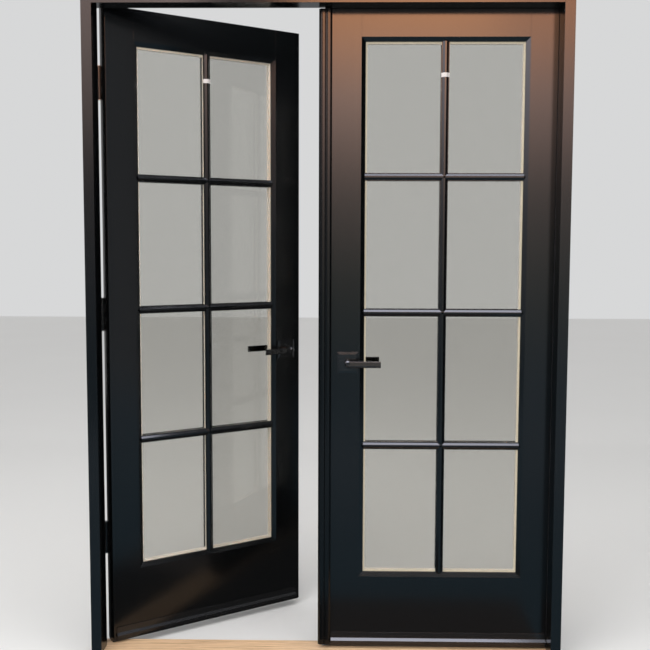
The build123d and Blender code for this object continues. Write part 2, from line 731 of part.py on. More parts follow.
def threshold():
    top = THRESHOLD_THICKNESS
    inner_edge = LEAF_THICKNESS + THRESHOLD_INNER_LIP
    outer_edge = JAMB_OUTER_Y - THRESHOLD_NOSING
    outline = [
        (outer_edge, 0), (inner_edge, 0), (inner_edge, THRESHOLD_EDGE),
        (LEAF_THICKNESS, top), (JAMB_OUTER_Y, top), (outer_edge, THRESHOLD_EDGE),
    ]
    board = prism_x(outline, -OUTER_X, OUTER_X)
    board -= keeper_blank(top - KEEPER_THICKNESS)
    bolt_end = LEAF_BOTTOM + BOLT_REST_SETBACK - BOLT_THROW
    return board - keeper_hole(bolt_end - KEEPER_HOLE_EXTRA_DEPTH, top)


def bolt_keepers():
    plates = []
    for low in (RABBET_Z, THRESHOLD_THICKNESS - KEEPER_THICKNESS):
        plates.append(keeper_blank(low) - keeper_hole(low, low + KEEPER_THICKNESS))
    return solids_of(plates)


def weatherstrip():
    """Compression seal in the rabbet of both jambs and the head."""
    y_span = (-SEAL_ROOM, -SEAL_CLEARANCE)
    strips = []
    for side in (-1, 1):
        edge = side * (RABBET_X - RUNNING_GAP)
        strips.append(block(around(edge - side * SEAL_WIDTH / 2, SEAL_WIDTH), y_span,
                            (THRESHOLD_THICKNESS, RABBET_Z - RUNNING_GAP)))
    reach = RABBET_X - RUNNING_GAP - SEAL_WIDTH
    strips.append(block((-reach, reach), y_span,
                        around(RABBET_Z - RUNNING_GAP - SEAL_WIDTH / 2, SEAL_WIDTH)))
    return solids_of(strips)


def corner_screw_list(clearance=0.0):
    """Countersunk screws down through the head into the jambs."""
    screws = []
    middle_y = (JAMB_OUTER_Y + LEAF_THICKNESS) / 2
    for side in (-1, 1):
        for row in (-1, 1):
            x = side * (RABBET_X + JAMB_BOARD / 2)
            y = middle_y + row * CORNER_SCREW_SPACING / 2
            shank = rod((x, y, FRAME_TOP), (0, 0, -1), CORNER_SCREW_LENGTH, CORNER_SCREW_RADIUS + clearance)
            sink = Cone(CORNER_SCREW_RADIUS, CORNER_SCREW_HEAD + clearance, CORNER_SCREW_HEAD,
                        align=(Align.CENTER, Align.CENTER, Align.MAX))
            screws.append(shank + Pos(x, y, FRAME_TOP) * sink)
    return screws


# Assembly

def leaf_pieces(is_active):
    """All the pieces that both leaves share, drawn for the right leaf when shut."""
    lips = sticking()
    beads = glazing_beads()
    band_level = LEFT_BAND_BELOW_TOP if is_active else RIGHT_BAND_BELOW_TOP
    cover_edge = -COVER_LEFT if is_active else COVER_RIGHT
    outer_rose = rose()
    outer_lever = lever()
    return {
        "hinge_stile": hinge_stile(lips),
        "meeting_stile": meeting_stile(lips, is_active),
        "top_rail": rail("top", lips),
        "bottom_rail": rail("bottom", lips),
        "outer_pane": pane(STICKING_DEPTH),
        "inner_pane": pane(GLASS_INNER_Y - PANE_THICKNESS),
        "glass_spacer": spacer(),
        "outer_muntins": muntins(STICKING_DEPTH, MUNTIN_SETBACK, lips),
        "inner_muntins": muntins(GLASS_INNER_Y, LEAF_THICKNESS - MUNTIN_SETBACK, beads),
        "glazing_beads": solids_of(beads.values()),
        "muntin_band": muntin_band(band_level),
        "sweep_carrier": sweep_carrier(cover_edge),
        "sweep_seal": sweep_seal(),
        "hinge_leaf_plates": hinge_leaf_plates(),
        "outer_rose": outer_rose,
        "inner_rose": to_inside(outer_rose),
        "outer_lever": outer_lever,
        "inner_lever": to_inside(outer_lever),
        "spindle": spindle(),
        "rose_bolts": solids_of(through_bolt_rods(0)),
    }


def latch_pieces():
    return {"latch_case": latch_case(), "latch_faceplate": latch_faceplate(), "latch_bolt": latch_bolt()}


def to_left(shape):
    return mirror(shape, about=Plane.YZ)


def swung_open(shape):
    return shape.rotate(Axis((-PIVOT_X, PIVOT_Y, 0), (0, 0, 1)), LEFT_LEAF_OPEN)


def frame_pieces():
    return {
        "left_jamb": jamb(-1),
        "right_jamb": jamb(1),
        "head_jamb": head_jamb(),
        "threshold": threshold(),
        "weatherstrip": weatherstrip(),
        "corner_screws": solids_of(corner_screw_list()),
        "bolt_keepers": bolt_keepers(),
        "right_hinge_frame_plates": hinge_frame_plates(),
        "left_hinge_frame_plates": to_left(hinge_frame_plates()),
        "right_hinge_pins": hinge_pins(),
        "left_hinge_pins": to_left(hinge_pins()),
    }


def astragal_pieces():
    return {
        "astragal_post": astragal_post(),
        "astragal_cover": astragal_cover(),
        "astragal_seal": astragal_seal(),
        "strike_plate": strike_plate(),
        "top_flush_bolt": flush_bolt(1, LEAF_TOP),
        "bottom_flush_bolt": flush_bolt(-1, LEAF_BOTTOM),
    }


def all_pieces():
    pieces = frame_pieces()
    pieces.update(astragal_pieces())
    pieces.update({"right_" + name: shape for name, shape in leaf_pieces(False).items()})
    left_leaf = {**leaf_pieces(True), **latch_pieces()}
    pieces.update({"left_" + name: swung_open(to_left(shape)) for name, shape in left_leaf.items()})
    return pieces


os.makedirs("parts", exist_ok=True)
for node, piece in all_pieces().items():
    export_step(piece, f"parts/{node}.step")
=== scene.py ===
"""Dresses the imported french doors: satin black leaves, clear double glazing, black levers and an oak sill.

The CAD nodes keep their places. What is added here is the small work that a maker does by hand: the eased
glazing bars, the screws of the hinges, latch and strike, and a finish for every surface.
"""

from __future__ import annotations

import json
import logging
import math
from dataclasses import dataclass, field
from enum import Enum
from typing import Sequence

import bpy
from mathutils import Matrix, Vector

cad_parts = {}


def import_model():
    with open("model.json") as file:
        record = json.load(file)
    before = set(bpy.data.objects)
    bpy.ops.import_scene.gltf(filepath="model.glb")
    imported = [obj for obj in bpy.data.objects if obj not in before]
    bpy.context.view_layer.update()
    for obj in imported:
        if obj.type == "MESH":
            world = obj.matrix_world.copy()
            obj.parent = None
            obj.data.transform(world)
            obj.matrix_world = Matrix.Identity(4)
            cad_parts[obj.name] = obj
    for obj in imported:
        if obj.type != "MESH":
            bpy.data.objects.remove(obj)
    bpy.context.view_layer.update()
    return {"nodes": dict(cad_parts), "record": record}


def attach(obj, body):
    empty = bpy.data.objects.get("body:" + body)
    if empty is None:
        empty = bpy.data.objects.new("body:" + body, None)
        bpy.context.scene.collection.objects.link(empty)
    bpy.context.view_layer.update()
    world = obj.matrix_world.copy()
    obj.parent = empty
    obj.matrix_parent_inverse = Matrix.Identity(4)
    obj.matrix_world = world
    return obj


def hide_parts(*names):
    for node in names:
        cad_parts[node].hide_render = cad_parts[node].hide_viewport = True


MM = 0.001
PICTURE_SIDE = 650

# Places on the doors that several sub-assemblies share, in millimetres.
LEAF_THICKNESS = 44.5
HINGE_LEVELS = (355.0, 1082.0, 1809.0)
HINGE_PLATE_INSET = 19.0
LEVER_LEVEL = 938.0

HINGE_SCREWS = {"Count": 4, "Pitch": 25.0 * MM, "Stagger": 8.0 * MM, "Radius": 4.2 * MM,
                "Proud": 0.25 * MM, "Sunk": 0.6 * MM}
PLATE_SCREWS = {**HINGE_SCREWS, "Count": 2, "Pitch": 41.0 * MM, "Stagger": 0.0, "Radius": 3.4 * MM}
SCREW_SIDES = 20
SLOT_LENGTH = 1.15
SLOT_WIDTH = 0.24
SCREW_TURN_SEED = 7
WELD_DISTANCE = 1e-6

Triple = tuple[float, float, float]
Colour = Triple
Span = tuple[float, float]

# Ranges of a value: all of it, and where most of a noise texture lies.
FULL: Span = (0.0, 1.0)
MOST: Span = (0.3, 0.7)

# Socket types.
NUMBER = "NodeSocketFloat"
WHOLE_NUMBER = "NodeSocketInt"
DIRECTION = "NodeSocketVector"
GEOMETRY = "NodeSocketGeometry"

# Socket numbers of a mix node that mixes colours.
MIX_SHARE, MIX_FIRST, MIX_SECOND, MIX_RESULT = 0, 6, 7, 2

log = logging.getLogger("french_doors")


class Side(Enum):
    """Which leaf a piece belongs to, seen from outside."""

    LEFT = "left"
    RIGHT = "right"

    @property
    def sign(self) -> float:
        """The direction of the side along X."""
        return 1.0 if self is Side.RIGHT else -1.0


class Coat(Enum):
    """The looks that a metal piece can have."""

    BLACK = "black"
    BARE = "bare"


def link_object(name: str, data: bpy.types.ID) -> bpy.types.Object:
    """Makes an object of some data and puts it in the scene.

    Args:
        name: the object's name.
        data: its mesh, camera or light.

    Returns:
        The object.
    """
    made = bpy.data.objects.new(name, data)
    bpy.context.scene.collection.objects.link(made)
    return made


class Tree:
    """A node tree with short calls for adding and joining its nodes."""

    prefix = ""

    def __init__(self, tree: bpy.types.NodeTree) -> None:
        """Starts on the tree of a material or a group."""
        self.tree = tree

    def add(self, kind: str, settings: dict | None = None, **inputs: object) -> bpy.types.Node:
        """Adds a node, sets its properties and fills or links its inputs.

        Args:
            kind: the node's class name, without the tree's prefix.
            settings: properties of the node itself.
            **inputs: input values or output sockets by input name, with _ for a space.

        Returns:
            The new node.
        """
        node = self.tree.nodes.new(self.prefix + kind)
        for name, value in (settings or {}).items():
            setattr(node, name, value)
        for name, value in inputs.items():
            self.feed(node, name.replace("_", " "), value)
        return node

    def feed(self, node: bpy.types.Node, name: str | int, value: object) -> None:
        """Links a socket to an input, or sets the input's own value.

        Args:
            node: the node that has the input.
            name: the input's name or number.
            value: an output socket or a plain value.
        """
        socket = node.inputs[name]
        if isinstance(value, bpy.types.NodeSocket):
            self.tree.links.new(value, socket)
        else:
            socket.default_value = value

    def maths(self, operation: str, first: object, second: object = 0.0) -> bpy.types.NodeSocket:
        """Adds a maths node.

        Args:
            operation: what the node does.
            first: the first number, or its socket.
            second: the second number, or its socket.

        Returns:
            The node's result.
        """
        node = self.tree.nodes.new("ShaderNodeMath")
        node.operation = operation
        self.feed(node, 0, first)
        self.feed(node, 1, second)
        return node.outputs[0]


class Nodes(Tree):
    """A shader tree of a material or a group."""

    prefix = "ShaderNode"

    def ramp(self, value: object, given: Span, wanted: Span = FULL) -> bpy.types.NodeSocket:
        """Maps a value from one range to another, held at both ends."""
        node = self.add("MapRange", Value=value, From_Min=given[0], From_Max=given[1],
                        To_Min=wanted[0], To_Max=wanted[1])
        return node.outputs["Result"]

    def mix(self, share: object, first: object, second: object) -> bpy.types.NodeSocket:
        """Mixes two colours.

        Args:
            share: how much of the second colour there is, from 0 to 1.
            first: the first colour, or its socket.
            second: the second colour, or its socket.

        Returns:
            The mixed colour.
        """
        node = self.add("Mix", {"data_type": "RGBA"})
        for index, value in ((MIX_SHARE, share), (MIX_FIRST, first), (MIX_SECOND, second)):
            if isinstance(value, tuple) and len(value) == 3:
                value = (*value, 1.0)
            self.feed(node, index, value)
        return node.outputs[MIX_RESULT]

    def place(self, scale: Triple) -> bpy.types.NodeSocket:
        """Gives object coordinates, stretched along each axis."""
        where = self.add("TexCoord").outputs["Object"]
        return self.add("Mapping", Vector=where, Scale=scale).outputs["Vector"]

    def noise(self, vector: object, scale: object = 1.0, detail: float = 3.0,
              rough: float = 0.5) -> bpy.types.NodeSocket:
        """Adds a noise texture and returns its value."""
        return self.add("TexNoise", Vector=vector, Scale=scale, Detail=detail, Roughness=rough).outputs[0]


class Effect(Nodes):
    """A shader node group that several finishes share."""

    name: str = ""
    inputs: dict[str, float] = {}
    outputs: dict[str, str] = {}

    def __init__(self) -> None:
        """Makes the group with its sockets and its nodes."""
        super().__init__(bpy.data.node_groups.new(self.name, "ShaderNodeTree"))
        for label, value in self.inputs.items():
            socket = self.tree.interface.new_socket(label, in_out="INPUT", socket_type=NUMBER)
            socket.default_value = value
        for label, kind in self.outputs.items():
            self.tree.interface.new_socket(label, in_out="OUTPUT", socket_type=kind)
        self.given = self.tree.nodes.new("NodeGroupInput").outputs
        self.result = self.tree.nodes.new("NodeGroupOutput")
        self.fill()

    @classmethod
    def shared(cls) -> bpy.types.NodeTree:
        """Gives the group, which is made on the first call."""
        return bpy.data.node_groups.get(cls.name) or cls().tree

    def fill(self) -> None:
        """Makes the nodes between inputs and outputs; each effect does it in its own way."""
        raise NotImplementedError

    def give(self, label: str, value: bpy.types.NodeSocket) -> None:
        """Links a socket to one of the group's outputs."""
        self.feed(self.result, label, value)


class SprayedSkin(Effect):
    """The faint orange peel of a sprayed coat: a height, a slow drift of gloss and specks of dust."""

    name = "sprayed_skin"
    inputs = {"Peel Scale": 420.0, "Peel Depth": 1.0, "Dust Amount": 1.0}
    outputs = {"Height": NUMBER, "Drift": NUMBER, "Dust": NUMBER}
    drift_scale: float = 2.3
    dust_scale: float = 190.0
    dust_edge: Span = (0.68, 0.74)

    def fill(self) -> None:
        """One noise for each output."""
        where = self.add("TexCoord").outputs["Object"]
        peel = self.noise(where, scale=self.given["Peel Scale"])
        drift = self.noise(where, scale=self.drift_scale, detail=4.0)
        dust = self.noise(where, scale=self.dust_scale, detail=2.0, rough=0.7)
        specks = self.ramp(dust, self.dust_edge)
        self.give("Height", self.maths("MULTIPLY", peel, self.given["Peel Depth"]))
        self.give("Drift", self.ramp(drift, MOST))
        self.give("Dust", self.maths("MULTIPLY", specks, self.given["Dust Amount"]))


class EasedEdges(Effect):
    """Rounded arrises: a softened normal and a mask that is 1 on the edges."""

    name = "eased_edges"
    inputs = {"Radius": 0.0008, "Wear": 1.0}
    outputs = {"Normal": DIRECTION, "Edge": NUMBER}
    samples: int = 4
    cosines: Span = (0.995, 0.9)

    def fill(self) -> None:
        """Compares the softened normal with the true one."""
        soft = self.add("Bevel", {"samples": self.samples}, Radius=self.given["Radius"])
        turn = self.add("VectorMath", {"operation": "DOT_PRODUCT"})
        self.feed(turn, 0, soft.outputs[0])
        self.feed(turn, 1, self.add("NewGeometry").outputs["Normal"])
        edge = self.ramp(turn.outputs["Value"], self.cosines)
        self.give("Normal", soft.outputs[0])
        self.give("Edge", self.maths("MULTIPLY", edge, self.given["Wear"]))


class SawnGrain(Effect):
    """Grain of a board that lies along X: broad bands, fine pores and their height."""

    name = "sawn_grain"
    inputs = {"Contrast": 1.0}
    outputs = {"Bands": NUMBER, "Pores": NUMBER, "Height": NUMBER}
    band_stretch: Triple = (1.4, 14.0, 14.0)
    pore_stretch: Triple = (9.0, 340.0, 340.0)
    pore_edge: Span = (0.52, 0.66)

    def fill(self) -> None:
        """A wave for the bands and a long noise for the pores."""
        bands = self.add("TexWave", {"bands_direction": "Y"}, Vector=self.place(self.band_stretch), Scale=1.6,
                         Distortion=9.0, Detail=3.0).outputs["Fac"]
        cells = self.noise(self.place(self.pore_stretch), detail=4.0, rough=0.65)
        pores = self.ramp(cells, self.pore_edge)
        self.give("Bands", self.maths("MULTIPLY", bands, self.given["Contrast"]))
        self.give("Pores", pores)
        self.give("Height", self.maths("SUBTRACT", 1.0, pores))


@dataclass(frozen=True)
class Finish:
    """One finish of the doors: the material's name and the record's slot."""

    name: str
    slot: str

    def material(self) -> bpy.types.Material:
        """Builds the material on the first call, and gives the same one later.

        Returns:
            The material.
        """
        found = bpy.data.materials.get(self.name)
        if found:
            return found
        made = bpy.data.materials.new(self.name)
        made.use_nodes = True
        nodes = Nodes(made.node_tree)
        self.shade(nodes, made.node_tree.nodes["Principled BSDF"])
        return made

    def shade(self, nodes: Nodes, skin: bpy.types.Node) -> None:
        """Sets the Principled BSDF; each finish does it in its own way.

        Args:
            nodes: the material's tree.
            skin: its Principled BSDF.
        """
        raise NotImplementedError

    def group(self, nodes: Nodes, effect: type[Effect], **values: float) -> bpy.types.Node:
        """Places an effect with this finish's own values.

        Args:
            nodes: the material's tree.
            effect: the effect.
            **values: the effect's numbers by name, with _ for a space.

        Returns:
            The effect's node.
        """
        node = nodes.add("Group", {"node_tree": effect.shared()})
        for label, value in values.items():
            node.inputs[label.replace("_", " ")].default_value = value
        return node

    def relief(self, nodes: Nodes, skin: bpy.types.Node, height: object, strength: float, distance: float,
               normal: bpy.types.NodeSocket | None = None) -> None:
        """Gives the shader a bump, over a softened normal where there is one.

        Args:
            nodes: the material's tree.
            skin: the shader.
            height: the height that the bump follows.
            strength: how strong the bump is, from 0 to 1.
            distance: how deep it is, in metres.
            normal: the softened normal.
        """
        bump = nodes.add("Bump", Height=height, Strength=strength, Distance=distance)
        if normal is not None:
            nodes.feed(bump, "Normal", normal)
        nodes.feed(skin, "Normal", bump.outputs[0])


@dataclass(frozen=True)
class SatinPaint(Finish):
    """Sprayed black paint of the leaves and the frame, a little lighter on its arrises."""

    body: Colour = (0.0020, 0.0023, 0.0026)
    worn: Colour = (0.014, 0.014, 0.014)
    dust: Colour = (0.06, 0.058, 0.055)
    dust_share: float = 0.25
    gloss: Span = (0.15, 0.18)
    edge_radius: float = 0.0009
    shine: float = 0.40

    def shade(self, nodes: Nodes, skin: bpy.types.Node) -> None:
        """Black with a faint orange peel, dust in the coat and soft arrises.

        Args:
            nodes: the material's tree.
            skin: its Principled BSDF.
        """
        coat = self.group(nodes, SprayedSkin, Peel_Scale=430.0, Peel_Depth=1.0, Dust_Amount=0.5)
        arris = self.group(nodes, EasedEdges, Radius=self.edge_radius, Wear=0.55)
        worn = nodes.mix(arris.outputs["Edge"], self.body, self.worn)
        dusty = nodes.mix(nodes.maths("MULTIPLY", coat.outputs["Dust"], self.dust_share), worn, self.dust)
        nodes.feed(skin, "Base Color", dusty)
        nodes.feed(skin, "Roughness", nodes.ramp(coat.outputs["Drift"], FULL, self.gloss))
        self.relief(nodes, skin, coat.outputs["Height"], strength=0.16, distance=0.00025,
                    normal=arris.outputs["Normal"])
        skin.inputs["Specular IOR Level"].default_value = self.shine


@dataclass(frozen=True)
class OiledOak(Finish):
    """Clear oiled oak of the sill, with darker bands and pores."""

    light: Colour = (0.86, 0.60, 0.38)
    dark: Colour = (0.66, 0.41, 0.22)
    pore: Colour = (0.16, 0.075, 0.032)
    pore_share: float = 0.6
    gloss: Span = (0.42, 0.62)

    def shade(self, nodes: Nodes, skin: bpy.types.Node) -> None:
        """Bands and pores along the board, under a matt oil.

        Args:
            nodes: the material's tree.
            skin: its Principled BSDF.
        """
        grain = self.group(nodes, SawnGrain, Contrast=0.75)
        arris = self.group(nodes, EasedEdges, Radius=0.0012, Wear=0.5)
        wood = nodes.mix(grain.outputs["Bands"], self.light, self.dark)
        wood = nodes.mix(nodes.maths("MULTIPLY", grain.outputs["Pores"], self.pore_share), wood, self.pore)
        nodes.feed(skin, "Base Color", wood)
        nodes.feed(skin, "Roughness", nodes.ramp(grain.outputs["Pores"], FULL, self.gloss))
        self.relief(nodes, skin, grain.outputs["Height"], strength=0.25, distance=0.0003,
                    normal=arris.outputs["Normal"])


@dataclass(frozen=True)
class ClearGlass(Finish):
    """Float glass with the slight roll of real panes; its shadow is clear."""

    tint: Colour = (0.76, 0.755, 0.73)
    index: float = 1.45
    stretch: Triple = (3.0, 3.0, 1.2)

    def shade(self, nodes: Nodes, skin: bpy.types.Node) -> None:
        """Plain transmission, with a clear path for shadows.

        Args:
            nodes: the material's tree.
            skin: its Principled BSDF.
        """
        skin.inputs["Base Color"].default_value = (*self.tint, 1.0)
        skin.inputs["Transmission Weight"].default_value = 1.0
        skin.inputs["Roughness"].default_value = 0.0
        skin.inputs["IOR"].default_value = self.index
        roll = nodes.noise(nodes.place(self.stretch), detail=1.0)
        self.relief(nodes, skin, roll, strength=0.03, distance=0.002)
        clear = nodes.add("BsdfTransparent", Color=(*self.tint, 1.0))
        path = nodes.add("LightPath")
        both = nodes.add("MixShader")
        nodes.feed(both, 0, path.outputs["Is Shadow Ray"])
        nodes.feed(both, 1, skin.outputs[0])
        nodes.feed(both, 2, clear.outputs[0])
        output = nodes.tree.nodes["Material Output"]
        nodes.feed(output, "Surface", both.outputs[0])


@dataclass(frozen=True)
class SpacerStrip(Finish):
    """Cream rolled strip between the panes."""

    body: Colour = (0.94, 0.88, 0.77)
    shaded: float = 0.88
    # Strength of the painted glow: an emission that stands in for sunlight on the strip.
    glow: float = 0.16
    gloss: Span = (0.34, 0.5)
    stretch: Triple = (60.0, 900.0, 60.0)

    def shade(self, nodes: Nodes, skin: bpy.types.Node) -> None:
        """Satin strip with a fine brushed drift, and a faint painted glow that stands in for the sunlight
        reaching it.

        Args:
            nodes: the material's tree.
            skin: its Principled BSDF.
        """
        # Painted light: the strip glows in its own colour, standing in for the sunlight that reaches it.
        skin.inputs["Emission Color"].default_value = (*self.body, 1.0)
        skin.inputs["Emission Strength"].default_value = self.glow
        brushed = nodes.noise(nodes.place(self.stretch))
        dark = tuple(part * self.shaded for part in self.body)
        nodes.feed(skin, "Base Color", nodes.mix(brushed, self.body, dark))
        nodes.feed(skin, "Roughness", nodes.ramp(brushed, MOST, self.gloss))
        self.relief(nodes, skin, brushed, strength=0.08, distance=0.0002)


@dataclass(frozen=True)
class Ironmongery(Finish):
    """Metal of levers, hinges, sweeps and bolts, coated or bare."""

    coat: Coat = Coat.BLACK
    shine: float = 0.5
    black: Colour = (0.006, 0.006, 0.0065)
    rubbed: Colour = (0.034, 0.033, 0.032)
    dust: Colour = (0.06, 0.06, 0.058)
    dust_share: float = 0.3
    black_gloss: Span = (0.15, 0.20)
    steel_light: Colour = (0.50, 0.49, 0.47)
    steel_dark: Colour = (0.36, 0.355, 0.34)
    steel_gloss: Span = (0.24, 0.38)
    steel_stretch: Triple = (500.0, 500.0, 22.0)

    def shade(self, nodes: Nodes, skin: bpy.types.Node) -> None:
        """Powder coat or brushed bare steel, by the coat.

        Args:
            nodes: the material's tree.
            skin: its Principled BSDF.
        """
        arris = self.group(nodes, EasedEdges, Radius=0.0005, Wear=0.8)
        if self.coat is Coat.BLACK:
            skin.inputs["Specular IOR Level"].default_value = self.shine
            grit = self.group(nodes, SprayedSkin, Peel_Scale=1500.0, Peel_Depth=1.0, Dust_Amount=0.4)
            worn = nodes.mix(arris.outputs["Edge"], self.black, self.rubbed)
            colour = nodes.mix(nodes.maths("MULTIPLY", grit.outputs["Dust"], self.dust_share), worn, self.dust)
            gloss = nodes.ramp(grit.outputs["Drift"], FULL, self.black_gloss)
            height = grit.outputs["Height"]
        else:
            skin.inputs["Metallic"].default_value = 1.0
            height = nodes.noise(nodes.place(self.steel_stretch), rough=0.6)
            colour = nodes.mix(height, self.steel_light, self.steel_dark)
            gloss = nodes.ramp(height, MOST, self.steel_gloss)
        nodes.feed(skin, "Base Color", colour)
        nodes.feed(skin, "Roughness", gloss)
        self.relief(nodes, skin, height, strength=0.1, distance=0.0001, normal=arris.outputs["Normal"])


@dataclass(frozen=True)
class SoftRubber(Finish):
    """Dull rubber of the seals, greyed by handling."""

    body: Colour = (0.012, 0.012, 0.012)
    chalk: Colour = (0.045, 0.044, 0.042)
    gloss: Span = (0.62, 0.85)
    bloom_stretch: Triple = (40.0, 40.0, 40.0)
    grit_stretch: Triple = (900.0, 900.0, 900.0)

    def shade(self, nodes: Nodes, skin: bpy.types.Node) -> None:
        """Matt black with a chalky bloom.

        Args:
            nodes: the material's tree.
            skin: its Principled BSDF.
        """
        bloom = nodes.noise(nodes.place(self.bloom_stretch), detail=5.0, rough=0.6)
        share = nodes.ramp(bloom, (0.4, 0.75), (0.0, 0.5))
        nodes.feed(skin, "Base Color", nodes.mix(share, self.body, self.chalk))
        nodes.feed(skin, "Roughness", nodes.ramp(bloom, MOST, self.gloss))
        grit = nodes.noise(nodes.place(self.grit_stretch))
        self.relief(nodes, skin, grit, strength=0.2, distance=0.0002)


@dataclass(frozen=True)
class WhiteBand(Finish):
    """The narrow white band round the top of each upright bar."""

    clean: Colour = (0.72, 0.655, 0.635)
    soiled: Colour = (0.62, 0.565, 0.55)
    shine: float = 0.1
    gloss: Span = (0.5, 0.7)
    stretch: Triple = (250.0, 250.0, 60.0)

    def shade(self, nodes: Nodes, skin: bpy.types.Node) -> None:
        """Matt white with a slight crease and soiling.

        Args:
            nodes: the material's tree.
            skin: its Principled BSDF.
        """
        skin.inputs["Specular IOR Level"].default_value = self.shine
        crease = nodes.noise(nodes.place(self.stretch))
        nodes.feed(skin, "Base Color", nodes.mix(crease, self.clean, self.soiled))
        nodes.feed(skin, "Roughness", nodes.ramp(crease, MOST, self.gloss))
        self.relief(nodes, skin, crease, strength=0.25, distance=0.0003)


@dataclass(frozen=True)
class PaleFloor(Finish):
    """Plain pale studio floor."""

    light: Colour = (0.80, 0.79, 0.775)
    dark: Colour = (0.77, 0.76, 0.745)
    shine: float = 0.2
    gloss: Span = (0.75, 0.85)
    stretch: Triple = (0.7, 0.7, 0.7)

    def shade(self, nodes: Nodes, skin: bpy.types.Node) -> None:
        """Nearly even pale grey, dull.

        Args:
            nodes: the material's tree.
            skin: its Principled BSDF.
        """
        skin.inputs["Specular IOR Level"].default_value = self.shine
        patch = nodes.noise(nodes.place(self.stretch), detail=4.0)
        nodes.feed(skin, "Base Color", nodes.mix(patch, self.light, self.dark))
        nodes.feed(skin, "Roughness", nodes.ramp(patch, MOST, self.gloss))


PAINT = SatinPaint("satin_black_paint", "black_paint")
OAK = OiledOak("oiled_oak", "oak")
GLASS = ClearGlass("clear_float_glass", "glass")
SPACER = SpacerStrip("cream_spacer", "spacer")
EXTRUSION = SatinPaint("satin_black_moulding", "black_extrusion", edge_radius=0.0006, shine=0.27)
IRON = Ironmongery("black_ironmongery", "black_metal", Coat.BLACK)
STEEL = Ironmongery("brushed_steel", "steel", Coat.BARE)
SWEEP = Ironmongery("black_anodising", "black_metal", Coat.BLACK, 0.48)
RUBBER = SoftRubber("seal_rubber", "seal")
BAND = WhiteBand("matt_white_band", "white_band")
FLOOR = PaleFloor("pale_floor", "")
FINISHES = {finish.slot: finish for finish in (PAINT, OAK, GLASS, SPACER, EXTRUSION, IRON, STEEL, RUBBER, BAND)}


class Recipe(Tree):
    """A Geometry Nodes tree with named sizes, turned into a plain mesh when it is used."""

    def __init__(self, name: str, sizes: dict[str, str]) -> None:
        """Starts an empty tree.

        Args:
            name: the tree's name.
            sizes: the named inputs with their socket types.
        """
        super().__init__(bpy.data.node_groups.new(name, "GeometryNodeTree"))
        self.sockets: dict[str, str] = {}
        for label, kind in sizes.items():
            socket = self.tree.interface.new_socket(label, in_out="INPUT", socket_type=kind)
            self.sockets[label] = socket.identifier
        self.tree.interface.new_socket("Geometry", in_out="OUTPUT", socket_type=GEOMETRY)
        self.given = self.tree.nodes.new("NodeGroupInput").outputs
        self.result = self.tree.nodes.new("NodeGroupOutput")

    def vector(self, x: object = 0.0, y: object = 0.0, z: object = 0.0) -> bpy.types.NodeSocket:
        """Joins three numbers into a vector."""
        return self.add("ShaderNodeCombineXYZ", X=x, Y=y, Z=z).outputs[0]

    def join(self, *parts: bpy.types.NodeSocket) -> bpy.types.NodeSocket:
        """Joins several geometries.

        Args:
            *parts: the geometries.

        Returns:
            All of them as one.
        """
        node = self.add("GeometryNodeJoinGeometry")
        for part in parts:
            self.tree.links.new(part, node.inputs[0])
        return node.outputs[0]

    def finish(self, geometry: bpy.types.NodeSocket, material: bpy.types.Material) -> None:
        """Ends the tree in real geometry with its material.

        Args:
            geometry: what the tree has made.
            material: its material.
        """
        real = self.add("GeometryNodeRealizeInstances", Geometry=geometry)
        dressed = self.add("GeometryNodeSetMaterial", Geometry=real.outputs[0], Material=material)
        self.tree.links.new(dressed.outputs[0], self.result.inputs[0])

    def make(self, name: str, sizes: dict[str, object], placement: Matrix) -> bpy.types.Object:
        """Evaluates the tree and gives a plain mesh object at the origin.

        Args:
            name: the new object's name.
            sizes: a value for each named input.
            placement: where the mesh goes in the shared frame.

        Returns:
            The object, with its place in its mesh.
        """
        carrier = link_object(name + "_recipe", bpy.data.meshes.new(name + "_recipe"))
        modifier = carrier.modifiers.new("recipe", "NODES")
        modifier.node_group = self.tree
        for label, value in sizes.items():
            modifier[self.sockets[label]] = value
        graph = bpy.context.evaluated_depsgraph_get()
        mesh = bpy.data.meshes.new_from_object(carrier.evaluated_get(graph))
        carrier.modifiers.remove(modifier)
        bpy.data.objects.remove(carrier)
        mesh.name = name
        mesh.transform(placement)
        return link_object(name, mesh)


